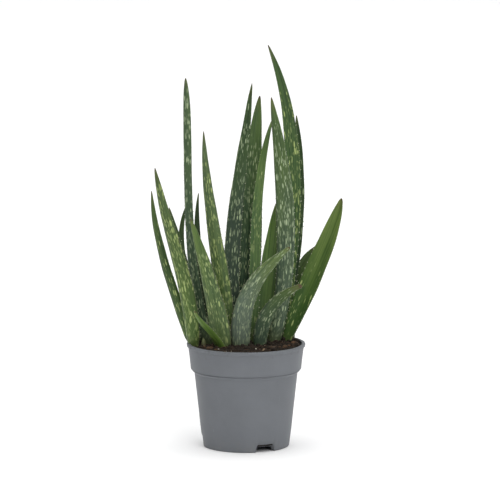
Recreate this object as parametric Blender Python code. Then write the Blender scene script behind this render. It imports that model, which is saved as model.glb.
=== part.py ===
"""Spotted aloe in a nursery pot: three rosettes of fleshy leaves, their crowns,
potting soil with bark and perlite, and a thin-walled plastic pot.

Metres, +Z up. The origin is on the floor under the middle of the pot, and -Y is
the front. Leaf control points and other hand-placed spots are in millimetres.
"""
import math

import bmesh
import bpy
from mathutils import Vector

MM = 0.001

# Pot
POT_HEIGHT = 0.1045
RIM_RADIUS = 0.0598
LIP_HEIGHT = 0.0030
LIP_OVERHANG = 0.0014
BAND_HEIGHT = 0.0258
BAND_TAPER = 0.0026
STEP_DEPTH = 0.0036
STEP_SLOPE = 0.0028
WALL = 0.0022
FOOT_RADIUS = 0.0437
FOOT_ROUND = 0.0012
FOOT_RING_WIDTH = 0.0050
FOOT_RING_DEPTH = 0.0032
FLOOR_THICKNESS = 0.0026
RIM_EASE = 0.0007
BAND_EASE = 0.0007
HUB_RADIUS = 0.004
POT_SIDES = 60

# Foot notches, angles measured from the front towards +X
NOTCH_ANGLES = (27.0, 147.0, -93.0)
NOTCH_TOP_SPAN = 22.0
NOTCH_FOOT_SPAN = 29.0
NOTCH_HEIGHT = 0.0060
NOTCH_REACH = 0.0110
NOTCH_MARGIN = 0.0060

# Soil
SOIL_DROP = 0.0028
SOIL_SWELL = 0.0018
HEAP_HEIGHT = 0.0062
HEAP_SPOT = (43.0, 21.0)
HEAP_SPREAD = 11.0
RIPPLE = 0.0004
RIPPLE_PITCH = (520.0, 450.0)
SOIL_SIDES = 36
SOIL_RINGS = (1.0, 0.86, 0.70, 0.52, 0.33, 0.15)

# Leaves as a whole
LEAF_LENGTH = 1.0
LEAF_WIDTH = 1.0
LEAF_THICKNESS = 0.40
ROOT_DEPTH = 9.0
TIP_THICKNESS = 0.55
TIP_FULLNESS = 0.62
CHANNEL = 0.14
ROOT_NARROWING = 0.72

# Fits
CLEARANCE = 0.0003

LEAF_STATIONS = (0.0, 0.07, 0.16, 0.26, 0.36, 0.46, 0.56, 0.66, 0.75, 0.83, 0.90, 0.955, 0.985)
OUTER_POINTS = 5
INNER_POINTS = 3

# Crowns: where each rosette grows from, at the soil, and the crown's own radius and height
CROWNS = {
    "left": dict(spot=(-46.0, 2.0), knob=(3.2, -4.5), radius=2.8, height=9.0),
    "middle": dict(spot=(-8.0, 6.0), knob=(6.5, -2.0), radius=3.6, height=13.0),
    "right": dict(spot=(33.0, 17.0), knob=(-0.5, 1.5), radius=2.6, height=11.0),
}

# Each leaf: the four control points of its midline measured from its crown at soil level
# (foot, lower handle, upper handle, tip), its width at the foot and at its widest, how far
# up it is widest, how full the taper is, and the compass angle that its inner face looks to.
LEAVES = {
    "leaf_upright_centre_left": dict(
        crown="middle", foot=(-3, 8, 3), low=(-15, 10, 92), high=(4, 15, 177), tip=(14, 20, 263),
        foot_width=15.5, width=16, widest=0.42, taper=1.2, inner=-80),
    "leaf_upright_centre": dict(
        crown="middle", foot=(7, 16, 3), low=(17, 19, 85), high=(10, 25, 167), tip=(22, 32, 249),
        foot_width=17, width=21.5, widest=0.40, taper=1.9, inner=-95),
    "leaf_slender_inner": dict(
        crown="middle", foot=(14, 7, 3), low=(20, 7, 80), high=(12, 9, 157), tip=(35, 10, 229),
        foot_width=9, width=11, widest=0.25, taper=2.4, inner=-85),
    "leaf_back_centre": dict(
        crown="middle", foot=(2, 24, 3), low=(3, 28, 57), high=(3, 40, 110), tip=(6, 51, 161),
        foot_width=15, width=16, widest=0.35, taper=1.2, inner=-90),
    "leaf_spotted_centre_left": dict(
        crown="middle", foot=(-10, 0, 3), low=(-15, -6, 78), high=(-33, -21, 149), tip=(-34, -36, 221),
        foot_width=16.5, width=18.5, widest=0.24, taper=1.0, inner=70),
    "leaf_small_left_back": dict(
        crown="middle", foot=(-29, 11, 3), low=(-34, 15, 54), high=(-46, 24, 101), tip=(-40, 34, 150),
        foot_width=9, width=9.5, widest=0.15, taper=2.0, inner=-110),
    "leaf_tall_left": dict(
        crown="middle", foot=(-31, 0, 3), low=(-56, -3, 93), high=(-48, -9, 183), tip=(-52, -16, 272),
        foot_width=14, width=9, widest=0.60, taper=6.0, inner=62),
    "leaf_front_curved": dict(
        crown="middle", foot=(3, -10, 3), low=(0, -18, 52), high=(19, -28, 77), tip=(52, -44, 106),
        foot_width=19, width=20.5, widest=0.10, taper=1.6, inner=100),
    "leaf_front_right_small": dict(
        crown="middle", foot=(22, -6, 3), low=(23, -13, 34), high=(41, -28, 58), tip=(65, -44, 67),
        foot_width=14, width=15.5, widest=0.30, taper=1.3, inner=105),
    "leaf_front_left_broad": dict(
        crown="middle", foot=(-16, -13, 3), low=(-22, -19, 51), high=(-35, -32, 93), tip=(-47, -46, 135),
        foot_width=19.5, width=22, widest=0.14, taper=1.0, inner=65),
    "leaf_front_left_small": dict(
        crown="middle", foot=(-17, -21, 1), low=(-25, -27, 19), high=(-38, -41, 28), tip=(-43, -52, 43),
        foot_width=10.5, width=9, widest=0.45, taper=1.4, inner=55),
    "leaf_tallest": dict(
        crown="right", foot=(4, 8, 3), low=(9, 11, 102), high=(31, 19, 206), tip=(-11, 27, 300),
        foot_width=15, width=17.5, widest=0.50, taper=1.2, inner=-76),
    "leaf_behind_tallest": dict(
        crown="right", foot=(1, 15.5, 3), low=(19, 19, 79), high=(25, 29, 151), tip=(18, 39, 227),
        foot_width=12, width=12.5, widest=0.45, taper=2.0, inner=-100),
    "leaf_plain_between": dict(
        crown="right", foot=(-15, 3, 3), low=(-12, 0, 51), high=(-7, -3, 98), tip=(-2, -7, 144),
        foot_width=19, width=19, widest=0.50, taper=1.3, inner=-85),
    "leaf_spotted_front_right": dict(
        crown="right", foot=(-4, -5, 3), low=(15, -11, 87), high=(7, -25, 172), tip=(-8, -39, 254),
        foot_width=13, width=18.5, widest=0.55, taper=1.2, inner=98),
    "leaf_right_arching": dict(
        crown="right", foot=(8, -6.5, 3), low=(25, -8, 55), high=(50, -10, 100), tip=(63, -11, 149),
        foot_width=9, width=21, widest=0.40, taper=2.2, inner=-115),
    "leaf_right_short_back": dict(
        crown="right", foot=(12, 12, 3), low=(14, 24, 36), high=(12, 37, 78), tip=(43, 40, 93),
        foot_width=9, width=9.5, widest=0.55, taper=2.4, inner=-110),
    "leaf_back_right": dict(
        crown="right", foot=(-6, 21, 3), low=(2, 28, 60), high=(5, 34, 112), tip=(9, 41, 166),
        foot_width=13, width=14.5, widest=0.15, taper=1.8, inner=-100),
    "leaf_pup_front": dict(
        crown="left", foot=(-7, -4, 1), low=(-8, -11, 67), high=(-36, -27, 125), tip=(-44, -44, 186),
        foot_width=14, width=17.5, widest=0.22, taper=1.5, inner=62),
    "leaf_pup_outer": dict(
        crown="left", foot=(-10, 3, 3), low=(-26, 3, 54), high=(-46, 5, 102), tip=(-49, 8, 156),
        foot_width=9, width=11.5, widest=0.20, taper=2.0, inner=52),
    "leaf_pup_middle": dict(
        crown="left", foot=(-7, 9, 3), low=(-4, 12, 52), high=(-21, 22, 94), tip=(-32, 32, 136),
        foot_width=9, width=9.5, widest=0.20, taper=2.4, inner=-70),
    "leaf_pup_back": dict(
        crown="left", foot=(-3, 15, 3), low=(-5, 20, 50), high=(-34, 32, 99), tip=(-11, 44, 142),
        foot_width=8, width=8, widest=0.50, taper=1.2, inner=-75),
}

# Loose bits lying in the soil surface: spot, size (length, width, height), turn
BARK = {
    "bark_left_large": dict(spot=(-36.0, -22.0), size=(8.5, 5.0, 3.2), turn=25),
    "bark_left_small": dict(spot=(-30.5, 26.0), size=(6.0, 4.0, 2.8), turn=-40),
    "bark_right_large": dict(spot=(26.5, -22.0), size=(9.5, 5.5, 3.4), turn=-15),
    "bark_right_small": dict(spot=(39.0, -14.0), size=(6.0, 4.5, 2.6), turn=50),
    "bark_heap": dict(spot=(47.5, 4.0), size=(7.0, 4.5, 3.0), turn=70),
}
PERLITE = {
    "perlite_left": dict(spot=(-35.0, -38.5), radius=1.3),
    "perlite_left_front": dict(spot=(-26.0, -43.0), radius=1.0),
    "perlite_right": dict(spot=(10.0, -31.0), radius=1.1),
    "perlite_back": dict(spot=(-17.0, 43.0), radius=1.2),
}
TWIG = dict(spot=(17.5, -33.0), length=11.0, radius=0.9, turn=78)

LOOKS = {
    "pot": ((0.162, 0.181, 0.191, 1.0), 0.52),
    "soil": ((0.020, 0.013, 0.010, 1.0), 0.95),
    "bark": ((0.080, 0.036, 0.020, 1.0), 0.85),
    "perlite": ((0.62, 0.60, 0.54, 1.0), 0.80),
    "twig": ((0.30, 0.21, 0.13, 1.0), 0.80),
    "crown": ((0.21, 0.25, 0.11, 1.0), 0.60),
    "leaf": ((0.062, 0.125, 0.045, 1.0), 0.45),
}


def clear_scene():
    for thing in list(bpy.data.objects):
        bpy.data.objects.remove(thing)


def material(name, look):
    colour, roughness = LOOKS[look]
    result = bpy.data.materials.new(name)
    result.use_nodes = True
    shader = result.node_tree.nodes["Principled BSDF"]
    shader.inputs["Base Color"].default_value = colour
    shader.inputs["Roughness"].default_value = roughness
    shader.inputs["Metallic"].default_value = 0.0
    return result


def add_object(name, vertices, faces, look=None, smooth_angle=40.0):
    mesh = bpy.data.meshes.new(name)
    mesh.from_pydata([tuple(v) for v in vertices], [], faces)
    mesh.validate()
    shape = bmesh.new()
    shape.from_mesh(mesh)
    bmesh.ops.recalc_face_normals(shape, faces=shape.faces)
    shape.to_mesh(mesh)
    shape.free()
    thing = bpy.data.objects.new(name, mesh)
    bpy.context.scene.collection.objects.link(thing)
    mesh.shade_smooth()
    mesh.set_sharp_from_angle(angle=math.radians(smooth_angle))
    if look is None:
        thing.hide_render = True
        thing.display_type = "WIRE"
    else:
        mesh.materials.append(material(name, look))
    return thing


def cut(thing, cutter):
    step = thing.modifiers.new("cut_" + cutter.name, "BOOLEAN")
    step.operation = "DIFFERENCE"
    step.solver = "EXACT"
    step.object = cutter


def boxes_meet(one, other):
    a = [vertex.co for vertex in one.data.vertices]
    b = [vertex.co for vertex in other.data.vertices]
    return all(
        min(p[i] for p in a) < max(p[i] for p in b) and min(p[i] for p in b) < max(p[i] for p in a)
        for i in range(3)
    )


def rings_to_faces(count, around, closed_ends=True):
    """Triangles between rings of points, with a flat face on each end if asked."""
    faces = []
    for ring in range(count - 1):
        low = ring * around
        high = low + around
        for i in range(around):
            j = (i + 1) % around
            faces.append((low + i, low + j, high + j))
            faces.append((low + i, high + j, high + i))
    if closed_ends:
        faces.append(tuple(reversed(range(around))))
        faces.append(tuple((count - 1) * around + i for i in range(around)))
    return faces


def lathe(profile, sides):
    """Turn a closed outline of (radius, height) points about Z."""
    vertices = []
    for radius, height in profile:
        for i in range(sides):
            angle = 2 * math.pi * i / sides
            vertices.append((radius * math.cos(angle), radius * math.sin(angle), height))
    faces = rings_to_faces(len(profile), sides, closed_ends=False)
    last = (len(profile) - 1) * sides
    for i in range(sides):
        j = (i + 1) % sides
        faces.append((last + i, last + j, j, i))
    return vertices, faces


def smooth(value, start, end):
    part = min(max((value - start) / (end - start), 0.0), 1.0)
    return part * part * (3 - 2 * part)


# ---- pot ----

BAND_TOP_RADIUS = RIM_RADIUS - LIP_OVERHANG
BAND_FOOT_RADIUS = BAND_TOP_RADIUS - BAND_TAPER
BAND_FOOT = POT_HEIGHT - BAND_HEIGHT
BODY_TOP_RADIUS = BAND_FOOT_RADIUS - STEP_DEPTH
BODY_TOP = BAND_FOOT - STEP_SLOPE
INNER_TOP_RADIUS = BAND_TOP_RADIUS - WALL
INNER_BAND_RADIUS = BAND_FOOT_RADIUS - WALL
INNER_BODY_RADIUS = BODY_TOP_RADIUS - WALL
INNER_BODY_TOP = BODY_TOP - 0.5 * WALL
INNER_FLOOR = FOOT_RING_DEPTH + FLOOR_THICKNESS
FOOT_SLOPE = (BODY_TOP_RADIUS - FOOT_RADIUS) / BODY_TOP
INNER_FLOOR_RADIUS = FOOT_RADIUS + FOOT_SLOPE * INNER_FLOOR - WALL
SOIL_LEVEL = POT_HEIGHT - SOIL_DROP
SOIL_TOP_RADIUS = INNER_TOP_RADIUS - CLEARANCE
DRAWN_SOIL_RADIUS = 55.9
SPREAD = SOIL_TOP_RADIUS / MM / DRAWN_SOIL_RADIUS


def notch_cutter(name, angle):
    """A slanted block that leaves a gap in the foot ring, wider at the floor than at its top."""
    vertices = []
    for radius in (FOOT_RADIUS - NOTCH_REACH, FOOT_RADIUS + NOTCH_MARGIN):
        for height, span in ((-NOTCH_MARGIN, NOTCH_FOOT_SPAN), (NOTCH_HEIGHT, NOTCH_TOP_SPAN)):
            for side in (-0.5, 0.5):
                turn = math.radians(angle + side * span)
                vertices.append((radius * math.sin(turn), -radius * math.cos(turn), height))
    faces = [(0, 1, 3, 2), (4, 6, 7, 5), (0, 4, 5, 1), (2, 3, 7, 6), (0, 2, 6, 4), (1, 5, 7, 3)]
    return add_object(name, vertices, faces)


def build_pot():
    ring_inner = FOOT_RADIUS - FOOT_RING_WIDTH
    profile = [
        (ring_inner, 0.0),
        (FOOT_RADIUS - FOOT_ROUND, 0.0),
        (FOOT_RADIUS, FOOT_ROUND),
        (BODY_TOP_RADIUS, BODY_TOP),
        (BAND_FOOT_RADIUS - BAND_EASE, BAND_FOOT),
        (BAND_FOOT_RADIUS, BAND_FOOT + BAND_EASE),
        (BAND_TOP_RADIUS, POT_HEIGHT - LIP_HEIGHT),
        (RIM_RADIUS, POT_HEIGHT - LIP_HEIGHT + RIM_EASE),
        (RIM_RADIUS, POT_HEIGHT - RIM_EASE),
        (RIM_RADIUS - RIM_EASE, POT_HEIGHT),
        (INNER_TOP_RADIUS + RIM_EASE, POT_HEIGHT),
        (INNER_TOP_RADIUS, POT_HEIGHT - RIM_EASE),
        (INNER_BAND_RADIUS, BAND_FOOT),
        (INNER_BODY_RADIUS, INNER_BODY_TOP),
        (INNER_FLOOR_RADIUS, INNER_FLOOR),
        (HUB_RADIUS, INNER_FLOOR),
        (HUB_RADIUS, FOOT_RING_DEPTH),
        (ring_inner - FOOT_ROUND, FOOT_RING_DEPTH),
    ]
    vertices, faces = lathe(profile, POT_SIDES)
    hub_top = (len(profile) - 3) * POT_SIDES
    hub_bottom = hub_top + POT_SIDES
    hub_end = hub_bottom + POT_SIDES
    faces = [face for face in faces if not (min(face) >= hub_top and max(face) < hub_end)]
    faces.append(tuple(range(hub_top, hub_bottom)))
    faces.append(tuple(range(hub_bottom, hub_end)))
    pot = add_object("pot", vertices, faces, "pot", smooth_angle=25.0)
    for number, angle in enumerate(NOTCH_ANGLES):
        cut(pot, notch_cutter("notch_%d" % number, angle))
    return pot


# ---- soil ----

def soil_height(x, y):
    """Height of the soil surface: a slight swell, a heap at the back right and a fine ripple."""
    radius = math.hypot(x, y)
    swell = SOIL_SWELL * (1 - smooth(radius, 0.45 * SOIL_TOP_RADIUS, SOIL_TOP_RADIUS))
    away = math.hypot(x - HEAP_SPOT[0] * MM * SPREAD, y - HEAP_SPOT[1] * MM * SPREAD)
    heap = HEAP_HEIGHT * math.exp(-0.5 * (away / (HEAP_SPREAD * MM)) ** 2)
    heap *= 1 - 0.75 * smooth(radius, 0.86 * SOIL_TOP_RADIUS, SOIL_TOP_RADIUS)
    ripple = RIPPLE * math.sin(x * RIPPLE_PITCH[0]) * math.cos(y * RIPPLE_PITCH[1])
    return SOIL_LEVEL + swell + heap + ripple


def build_soil():
    sides = SOIL_SIDES
    lower = [
        (INNER_FLOOR_RADIUS - CLEARANCE, INNER_FLOOR + CLEARANCE),
        (INNER_BODY_RADIUS - CLEARANCE, INNER_BODY_TOP),
        (INNER_BAND_RADIUS - CLEARANCE, BAND_FOOT),
    ]
    vertices = []
    for radius, height in lower:
        for i in range(sides):
            turn = 2 * math.pi * i / sides
            vertices.append((radius * math.cos(turn), radius * math.sin(turn), height))
    for fraction in SOIL_RINGS:
        for i in range(sides):
            turn = 2 * math.pi * i / sides
            x = fraction * SOIL_TOP_RADIUS * math.cos(turn)
            y = fraction * SOIL_TOP_RADIUS * math.sin(turn)
            vertices.append((x, y, soil_height(x, y)))
    rings = len(lower) + len(SOIL_RINGS)
    faces = rings_to_faces(rings, sides, closed_ends=False)
    faces.append(tuple(reversed(range(sides))))
    vertices.append((0.0, 0.0, soil_height(0.0, 0.0)))
    top = (rings - 1) * sides
    for i in range(sides):
        faces.append((top + i, top + (i + 1) % sides, len(vertices) - 1))
    return add_object("soil", vertices, faces, "soil", smooth_angle=60.0)


# ---- crowns and leaves ----

def crown_spot(name):
    x, y = CROWNS[name]["spot"]
    return Vector((x * MM * SPREAD, y * MM * SPREAD, SOIL_LEVEL))


def build_crown(name, grow=0.0, hidden=False):
    spec = CROWNS[name]
    base = crown_spot(name) + Vector((spec["knob"][0] * MM, spec["knob"][1] * MM, 0.0))
    radius = spec["radius"] * MM + grow
    sides = 12
    vertices = []
    rings = ((-10.0, 0.75), (-3.0, 1.0), (0.55 * spec["height"], 0.9), (0.85 * spec["height"], 0.6))
    for height, part in rings:
        lift = height * MM - (grow if height < 0 and part == 0.75 else 0.0)
        for i in range(sides):
            turn = 2 * math.pi * i / sides
            reach = radius * part
            vertices.append(base + Vector((reach * math.cos(turn), reach * math.sin(turn), lift)))
    faces = rings_to_faces(len(rings), sides, closed_ends=False)
    faces.append(tuple(reversed(range(sides))))
    vertices.append(base + Vector((0.0, 0.0, spec["height"] * MM + grow)))
    top = (len(rings) - 1) * sides
    for i in range(sides):
        faces.append((top + i, top + (i + 1) % sides, len(vertices) - 1))
    title = "crown_" + name
    if hidden:
        return add_object(title + "_room", vertices, faces)
    return add_object(title, vertices, faces, "crown")


def leaf_midline(spec):
    """The four control points in metres, with the foot carried down into the soil."""
    crown = crown_spot(spec["crown"])
    foot = Vector(spec["foot"])
    seat = crown + Vector((foot.x * MM * SPREAD, foot.y * MM * SPREAD, foot.z * MM))
    points = [seat + (Vector(spec[key]) - foot) * MM * LEAF_LENGTH for key in ("foot", "low", "high", "tip")]
    down = (points[0] - points[1]).normalized()
    down.z = -1.0
    root = points[0] + down * ROOT_DEPTH * MM
    return root, points


def along(points, part):
    a, b, c, d = points
    rest = 1 - part
    return a * rest ** 3 + b * 3 * rest * rest * part + c * 3 * rest * part * part + d * part ** 3


def leaf_width(spec, part):
    """Full width at a fraction of the leaf's height."""
    if part < spec["widest"]:
        swell = math.sin(0.5 * math.pi * part / spec["widest"])
        width = spec["foot_width"] + (spec["width"] - spec["foot_width"]) * swell
    else:
        left = (part - spec["widest"]) / (1 - spec["widest"])
        width = spec["width"] * (1 - left ** spec["taper"]) ** TIP_FULLNESS
    return width * MM * LEAF_WIDTH


def leaf_section(half_width, depth, grow):
    """Points around a leaf: a rounded outer face and a shallow channel on the inner face."""
    half = half_width + grow
    points = []
    for i in range(OUTER_POINTS + 2):
        turn = math.pi * i / (OUTER_POINTS + 1)
        across = math.cos(turn)
        edge = CHANNEL * depth * across ** 2
        edge += 0.7 * grow if i in (0, OUTER_POINTS + 1) else 0.0
        points.append((half * across, edge - (0.78 * depth + grow) * math.sin(turn) ** 0.9))
    for i in range(INNER_POINTS):
        across = -1 + 2 * (i + 1) / (INNER_POINTS + 1)
        points.append((half * across, CHANNEL * depth * across ** 2 + 0.06 * depth * (1 - across ** 2) + grow))
    return points


def build_leaf(name, spec, grow=0.0, hidden=False):
    root, points = leaf_midline(spec)
    turn = math.radians(spec["inner"])
    look = Vector((math.cos(turn), math.sin(turn), 0.0))
    vertices = []
    around = OUTER_POINTS + 2 + INNER_POINTS
    stations = (-1.0,) + LEAF_STATIONS
    for part in stations:
        place = along(points, max(part, 0.0)) if part >= 0 else root
        if part < 0 and grow:
            place = root + (root - points[0]).normalized() * grow
        ahead = along(points, min(max(part, 0.0) + 0.02, 1.0))
        behind = along(points, max(max(part, 0.0) - 0.02, 0.0))
        tangent = (ahead - behind).normalized()
        side = tangent.cross(look).normalized()
        inward = side.cross(tangent).normalized()
        share = max(part, 0.0)
        width = leaf_width(spec, share)
        width *= ROOT_NARROWING if part < 0 else 1.0
        depth = spec["width"] * MM * LEAF_THICKNESS * LEAF_WIDTH
        depth *= (1 - TIP_THICKNESS * share) * min(1.0, width / (0.45 * spec["width"] * MM))
        for across, inner in leaf_section(0.5 * width, depth, grow):
            vertices.append(place + side * across + inward * inner)
    faces = rings_to_faces(len(stations), around, closed_ends=False)
    faces.append(tuple(reversed(range(around))))
    end = along(points, 1.0)
    vertices.append(end + (end - along(points, 0.98)).normalized() * grow)
    top = (len(stations) - 1) * around
    for i in range(around):
        faces.append((top + i, top + (i + 1) % around, len(vertices) - 1))
    if hidden:
        return add_object(name + "_room", vertices, faces)
    return add_object(name, vertices, faces, "leaf", smooth_angle=50.0)


# ---- loose bits ----

def chip(name, spot, size, turn, look, grow=0.0):
    """A rough chip with a six-sided outline, half sunk in the soil."""
    x, y = spot[0] * MM * SPREAD, spot[1] * MM * SPREAD
    base = Vector((x, y, soil_height(x, y)))
    length, width, height = (0.5 * s * MM + grow for s in size)
    corner = math.radians(turn)
    outline = ((1.0, 0.1), (0.55, 0.9), (-0.5, 1.0), (-1.0, 0.2), (-0.7, -0.85), (0.6, -1.0))
    vertices = []
    for level, scale in ((-1.0, 0.8), (0.35, 1.0), (1.0, 0.7)):
        for px, py in outline:
            ax, ay = px * length * scale, py * width * scale
            tilt = 0.12 * ax
            vertices.append(base + Vector((
                ax * math.cos(corner) - ay * math.sin(corner),
                ax * math.sin(corner) + ay * math.cos(corner),
                level * height + tilt,
            )))
    faces = rings_to_faces(3, len(outline))
    return add_object(name, vertices, faces, look, smooth_angle=20.0)


def pebble(name, spot, radius, look, grow=0.0):
    x, y = spot[0] * MM * SPREAD, spot[1] * MM * SPREAD
    shape = bmesh.new()
    bmesh.ops.create_icosphere(shape, subdivisions=1, radius=radius * MM + grow)
    for vertex in shape.verts:
        vertex.co.z *= 0.8
        vertex.co += Vector((x, y, soil_height(x, y) + 0.3 * radius * MM))
    mesh = bpy.data.meshes.new(name)
    shape.to_mesh(mesh)
    shape.free()
    vertices = [v.co.copy() for v in mesh.vertices]
    faces = [tuple(p.vertices) for p in mesh.polygons]
    bpy.data.meshes.remove(mesh)
    return add_object(name, vertices, faces, look, smooth_angle=60.0)


def twig(name, look, grow=0.0):
    x, y = TWIG["spot"][0] * MM * SPREAD, TWIG["spot"][1] * MM * SPREAD
    turn = math.radians(TWIG["turn"])
    way = Vector((math.cos(turn), math.sin(turn), 0.06)).normalized()
    side = Vector((-math.sin(turn), math.cos(turn), 0.0))
    lift = way.cross(side)
    base = Vector((x, y, soil_height(x, y) + 0.0004))
    half = 0.5 * TWIG["length"] * MM + grow
    radius = TWIG["radius"] * MM + grow
    sides = 8
    vertices = []
    for shift, part in ((-1.0, 0.7), (-0.3, 1.0), (0.4, 0.85), (1.0, 0.6)):
        for i in range(sides):
            angle = 2 * math.pi * i / sides
            ring = side * math.cos(angle) + lift * math.sin(angle)
            vertices.append(base + way * shift * half + ring * radius * part)
    return add_object(name, vertices, rings_to_faces(4, sides), look)


def build_trim(soil, rooms):
    """Bark, perlite and the twig, each kept clear of what grows or stands beside it."""
    bits = []
    for name, spec in BARK.items():
        bits.append(chip(name, spec["spot"], spec["size"], spec["turn"], "bark"))
        cut(soil, chip(name + "_room", spec["spot"], spec["size"], spec["turn"], None, CLEARANCE))
    for name, spec in PERLITE.items():
        bits.append(pebble(name, spec["spot"], spec["radius"], "perlite"))
        cut(soil, pebble(name + "_room", spec["spot"], spec["radius"], None, CLEARANCE))
    bits.append(twig("twig", "twig"))
    cut(soil, twig("twig_room", None, CLEARANCE))
    for bit in bits:
        for room in rooms:
            if boxes_meet(bit, room):
                cut(bit, room)


def rim_room():
    """The space that the wall and rim take up, with clearance, for leaves that lean over it."""
    outer = RIM_RADIUS + 0.010
    top = POT_HEIGHT + CLEARANCE
    profile = [
        (INNER_BAND_RADIUS - CLEARANCE, BAND_FOOT),
        (outer, BAND_FOOT),
        (outer, top),
        (SOIL_TOP_RADIUS, top),
        (SOIL_TOP_RADIUS, POT_HEIGHT - RIM_EASE),
    ]
    return add_object("rim_room", *lathe(profile, POT_SIDES))


def main():
    clear_scene()
    build_pot()
    soil = build_soil()
    wall = rim_room()
    rooms = []
    for name in CROWNS:
        build_crown(name)
        rooms.append(build_crown(name, CLEARANCE, hidden=True))
    for name, spec in LEAVES.items():
        leaf = build_leaf(name, spec)
        for room in rooms + [wall]:
            if boxes_meet(leaf, room):
                cut(leaf, room)
        rooms.append(build_leaf(name, spec, CLEARANCE, hidden=True))
    for room in rooms:
        cut(soil, room)
    build_trim(soil, rooms + [wall])


main()
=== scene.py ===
"""Finished looks for a potted spotted aloe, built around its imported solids.

Each leaf is measured from its own solid by slicing it, then remade with a fine skin, a
channelled inner face and horny teeth. The pot, soil, loose bits and crowns are remade the
same way. Metres, +Z up, -Y is the front.
"""
import math
import random

import bmesh
import bpy
import numpy as np
from mathutils import Matrix, Vector, noise
from mathutils.bvhtree import BVHTree


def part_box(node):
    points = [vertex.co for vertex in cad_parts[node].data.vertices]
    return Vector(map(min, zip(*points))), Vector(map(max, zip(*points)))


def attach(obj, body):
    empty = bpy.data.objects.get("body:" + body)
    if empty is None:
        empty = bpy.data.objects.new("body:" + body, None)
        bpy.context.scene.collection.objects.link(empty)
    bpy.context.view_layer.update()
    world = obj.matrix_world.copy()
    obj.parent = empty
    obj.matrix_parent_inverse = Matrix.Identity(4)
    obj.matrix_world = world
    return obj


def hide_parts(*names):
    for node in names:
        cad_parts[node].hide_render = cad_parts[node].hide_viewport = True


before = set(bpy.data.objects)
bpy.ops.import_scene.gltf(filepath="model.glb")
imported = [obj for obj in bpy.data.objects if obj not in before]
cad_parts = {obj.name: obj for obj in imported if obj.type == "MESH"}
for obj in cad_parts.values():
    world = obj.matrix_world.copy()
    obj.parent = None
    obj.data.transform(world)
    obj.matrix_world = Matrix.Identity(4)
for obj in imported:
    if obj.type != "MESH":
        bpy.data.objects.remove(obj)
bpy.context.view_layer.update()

bl_info = {
    "name": "Potted spotted aloe",
    "version": (1, 0, 0),
    "blender": (4, 5, 0),
    "location": "View3D > Sidebar > Aloe",
    "description": "Builds a potted aloe: leaves, crowns, soil, loose bits, pot and a studio",
    "category": "Object",
}

ROOT = "root"
THOUSANDTH = 0.001
FULL_TURN = 2 * math.pi
POT_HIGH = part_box("pot")[1]
SOIL_LOW, SOIL_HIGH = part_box("soil")

# Each leaf's look: its skin tones low and high up in thousandths, how many flecks, how
# much wax bloom at its foot and at its top, how far up flecks reach, and its dried tip in mm.
# Two leaves' tones also hold painted light and painted shade; their rows say which.
LEAF_LOOKS = {
    "upright_centre_left": ((27, 48, 30), (47, 84, 28), 0.80, 0.20, 0.03, 0.97, 4),
    "upright_centre": ((36, 76, 34), (86, 142, 46), 0.78, 0.08, 0.00, 0.90, 4),
    "slender_inner": ((86, 150, 50), (115, 186, 56), 0.50, 0.05, 0.00, 0.80, 3),
    "back_centre": ((44, 80, 30), (58, 100, 34), 0.45, 0.12, 0.03, 0.85, 3),
    "spotted_centre_left": ((92, 146, 44), (74, 118, 42), 1.18, 0.04, 0.06, 0.97, 4),
    # Dark tones matched to this leaf as it stands in shade behind the tall left leaf: painted shade
    # in its skin colour.
    "small_left_back": ((28, 50, 20), (36, 60, 22), 0.20, 0.08, 0.04, 0.70, 3),
    "tall_left": ((45, 82, 42), (64, 108, 40), 1.00, 0.20, 0.12, 1.05, 3),
    "front_curved": ((128, 168, 116), (126, 180, 56), 1.20, 0.70, 0.03, 1.10, 2),
    "front_right_small": ((44, 82, 42), (82, 126, 36), 0.90, 0.38, 0.02, 1.10, 4),
    "front_left_broad": ((102, 160, 52), (122, 188, 48), 1.18, 0.15, 0.00, 0.86, 3),
    "front_left_small": ((110, 185, 36), (122, 205, 42), 0.08, 0.00, 0.00, 0.60, 2),
    "tallest": ((56, 112, 30), (56, 102, 32), 1.10, 0.05, 0.03, 0.88, 5),
    "behind_tallest": ((40, 70, 32), (54, 92, 34), 0.60, 0.12, 0.03, 0.90, 3),
    # Tones raised about 1.6 times because the leaves in front shade this one: painted light in its
    # skin colour.
    "plain_between": ((108, 180, 48), (118, 196, 52), 0.12, 0.02, 0.00, 0.60, 3),
    "spotted_front_right": ((54, 88, 46), (78, 124, 38), 1.15, 0.24, 0.00, 0.96, 4),
    "right_arching": ((50, 102, 22), (110, 168, 38), 0.30, 0.00, 0.00, 0.62, 3),
    "right_short_back": ((56, 92, 28), (66, 106, 32), 0.25, 0.04, 0.00, 0.80, 3),
    "back_right": ((50, 88, 32), (60, 98, 34), 0.50, 0.12, 0.03, 0.85, 3),
    "pup_front": ((90, 148, 32), (74, 118, 36), 1.18, 0.04, 0.04, 0.97, 4),
    "pup_outer": ((52, 98, 22), (62, 106, 28), 0.66, 0.04, 0.04, 0.85, 4),
    "pup_middle": ((40, 74, 26), (52, 88, 30), 0.40, 0.08, 0.04, 0.85, 3),
    "pup_back": ((48, 82, 26), (58, 94, 30), 0.35, 0.06, 0.04, 0.85, 3),
}
OTHER_LEAF = ((50, 92, 30), (60, 100, 32), 0.40, 0.12, 0.04, 0.85, 3)


def nodes_named(prefix):
    return sorted(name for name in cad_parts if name.startswith(prefix))


# ---- sizes and colours a user can change ----

def length(label, about, value, low=0.0):
    return bpy.props.FloatProperty(name=label, description=about, default=value, min=low,
                                   subtype="DISTANCE", unit="LENGTH", precision=5)


def colour(label, about, value):
    return bpy.props.FloatVectorProperty(name=label, description=about, default=value, size=3,
                                         min=0.0, max=1.0, subtype="COLOR")


def share(label, about, value):
    return bpy.props.FloatProperty(name=label, description=about, default=value, min=0.0,
                                   max=1.0, subtype="FACTOR")


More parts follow.
